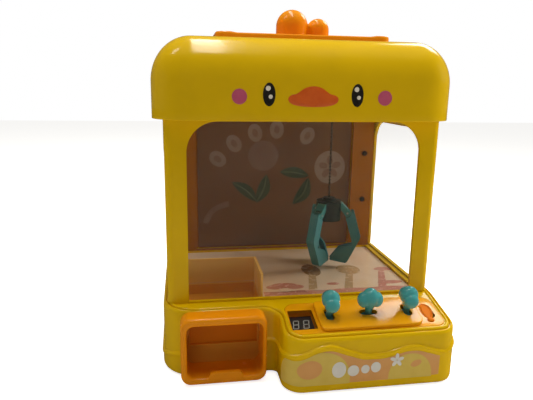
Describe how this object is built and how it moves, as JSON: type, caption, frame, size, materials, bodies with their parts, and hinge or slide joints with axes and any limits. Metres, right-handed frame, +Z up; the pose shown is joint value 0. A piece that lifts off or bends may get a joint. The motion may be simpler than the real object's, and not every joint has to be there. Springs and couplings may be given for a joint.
{
  "type": "toy claw crane machine",
  "caption": "Table-top toy claw crane with a clear-sided cabin, rounded animal-face hood, joystick desk, hanging three-arm claw and prize chute.",
  "frame": {"origin": "centre of the footprint box of the whole machine, on the table surface", "axes": "+Z up, -Y towards the player, +X to the player's right"},
  "size_m": [0.24, 0.2102, 0.2953],
  "materials": {
    "yellow_plastic": "moulded ABS, glossy",
    "orange_plastic": "moulded ABS, glossy",
    "teal_plastic": "moulded ABS, glossy",
    "grey_plastic": "moulded, fine texture",
    "rubber_black": "matt",
    "steel": "bright",
    "battery_wrap": "printed sleeve",
    "circuit_board": "solder mask",
    "black_plastic": "moulded",
    "smoked_plastic": "smoked clear",
    "clear_plastic": "clear sheet",
    "white_plastic": "moulded",
    "floor_plastic": "moulded",
    "printed_floor": "printed film",
    "printed_card": "printed film",
    "printed_label": "printed film"
  },
  "bodies": {
    "root": {"base_shell": "yellow_plastic", "deck": "yellow_plastic", "cabin_lower": "yellow_plastic", "cabin_arch": "yellow_plastic", "ceiling_plate": "yellow_plastic", "hood_shell": "yellow_plastic", "outlet_frame": "orange_plastic", "prize_ramp": "orange_plastic", "chute_fence": "orange_plastic", "control_panel": "orange_plastic", "joystick_plate": "orange_plastic", "coin_dish": "orange_plastic", "rear_frame": "orange_plastic", "top_plate": "orange_plastic", "top_tuft": "orange_plastic", "base_plate": "grey_plastic", "battery_door": "grey_plastic", "rubber_feet": "rubber_black", "screws": "steel", "joystick_pins": "steel", "joystick_springs": "steel", "door_pins": "steel", "batteries": "battery_wrap", "main_board": "circuit_board", "control_board": "circuit_board", "speaker": "black_plastic", "rear_socket": "black_plastic", "led_display": "black_plastic", "display_lens": "smoked_plastic", "front_window": "clear_plastic", "left_window": "clear_plastic", "right_window": "clear_plastic", "joystick_brackets": "white_plastic", "coin_guide": "white_plastic", "side_rails": "white_plastic", "lamp_strip": "white_plastic", "floor_board": "floor_plastic", "floor_print": "printed_floor", "front_label": "printed_label"},
    "bridge": {"bridge_frame": "white_plastic", "bridge_rods": "steel", "bridge_motor": "steel"},
    "bridge_wheels_front": {"bridge_wheels_front": "white_plastic"},
    "bridge_wheels_rear": {"bridge_wheels_rear": "white_plastic"},
    "trolley": {"trolley_frame": "white_plastic", "winch_motor": "steel"},
    "winch_drum": {"winch_drum": "white_plastic"},
    "claw": {"claw_hub": "teal_plastic", "claw_pins": "steel", "hoist_chain": "steel"},
    "claw_arm_right": {"claw_arm_right": "teal_plastic"},
    "claw_arm_back": {"claw_arm_back": "teal_plastic"},
    "claw_arm_front": {"claw_arm_front": "teal_plastic"},
    "joystick_left": {"joystick_left": "teal_plastic"},
    "joystick_middle": {"joystick_middle": "teal_plastic"},
    "joystick_right": {"joystick_right": "teal_plastic"},
    "rear_door": {"rear_door": "orange_plastic", "door_card": "printed_card"},
    "outlet_flap": {"outlet_flap": "orange_plastic"},
    "power_switch": {"power_switch": "black_plastic"}
  },
  "joints": [
    {"name": "bridge_travel", "type": "slide", "parent": "root", "child": "bridge", "axis": [0, 1, 0], "range_m": [-0.04, 0.018]},
    {"name": "trolley_travel", "type": "slide", "parent": "bridge", "child": "trolley", "axis": [1, 0, 0], "range_m": [-0.111, 0.022]},
    {"name": "hoist", "type": "slide", "parent": "trolley", "child": "claw", "axis": [0, 0, -1], "range_m": [-0.048, 0.003]},
    {"name": "bridge_wheels_front_turn", "type": "hinge", "parent": "bridge", "child": "bridge_wheels_front", "pos_m": [0, 0.014, 0.2149], "axis": [1, 0, 0], "range_deg": [-300, 500]},
    {"name": "bridge_wheels_rear_turn", "type": "hinge", "parent": "bridge", "child": "bridge_wheels_rear", "pos_m": [0, 0.042, 0.2149], "axis": [1, 0, 0], "range_deg": [-300, 500]},
    {"name": "winch_drum_turn", "type": "hinge", "parent": "trolley", "child": "winch_drum", "pos_m": [0.043, 0.0364, 0.236], "axis": [1, 0, 0], "range_deg": [-420, 60]},
    {"name": "claw_arm_right_swing", "type": "hinge", "parent": "claw", "child": "claw_arm_right", "pos_m": [0.06074, 0.02275, 0.1105], "axis": [0.284, 0.9588, 0], "range_deg": [-20, 0], "stiffness_Nm_per_rad": 0.01, "springref_deg": 2.86},
    {"name": "claw_arm_back_swing", "type": "hinge", "parent": "claw", "child": "claw_arm_back", "pos_m": [0.03868, 0.04599, 0.1105], "axis": [-0.9724, -0.2334, 0], "range_deg": [-20, 0]},
    {"name": "claw_arm_front_swing", "type": "hinge", "parent": "claw", "child": "claw_arm_front", "pos_m": [0.02958, 0.01527, 0.1105], "axis": [0.6884, -0.7254, 0], "range_deg": [-20, 0]},
    {"name": "joystick_left_tilt", "type": "hinge", "parent": "root", "child": "joystick_left", "pos_m": [0.0151, -0.07752, 0.04286], "axis": [1, 0, 0], "range_deg": [-13, 13], "stiffness_Nm_per_rad": 0.08},
    {"name": "joystick_middle_tilt", "type": "hinge", "parent": "root", "child": "joystick_middle", "pos_m": [0.0475, -0.07752, 0.04286], "axis": [0, 0.9747, 0.2233], "range_deg": [-13, 13], "stiffness_Nm_per_rad": 0.08},
    {"name": "joystick_right_tilt", "type": "hinge", "parent": "root", "child": "joystick_right", "pos_m": [0.0799, -0.07752, 0.04286], "axis": [1, 0, 0], "range_deg": [-13, 13], "stiffness_Nm_per_rad": 0.08},
    {"name": "rear_door_swing", "type": "hinge", "parent": "root", "child": "rear_door", "pos_m": [0.0864, 0.0929, 0.115], "axis": [0, 0, -1], "range_deg": [0, 100]},
    {"name": "outlet_flap_swing", "type": "hinge", "parent": "root", "child": "outlet_flap", "pos_m": [-0.0673, -0.062, 0.0466], "axis": [-1, 0, 0], "range_deg": [0, 65]},
    {"name": "power_switch_slide", "type": "slide", "parent": "root", "child": "power_switch", "axis": [1, 0, 0], "range_m": [0, 0.0048]}
  ],
  "couplings": [
    {"joint": "bridge_wheels_front_turn", "follows": "bridge_travel", "rad_per_m": -200},
    {"joint": "bridge_wheels_rear_turn", "follows": "bridge_travel", "rad_per_m": -200},
    {"joint": "winch_drum_turn", "follows": "hoist", "rad_per_m": 138.89},
    {"joint": "claw_arm_back_swing", "follows": "claw_arm_right_swing", "ratio": 1},
    {"joint": "claw_arm_front_swing", "follows": "claw_arm_right_swing", "ratio": 1}
  ]
}
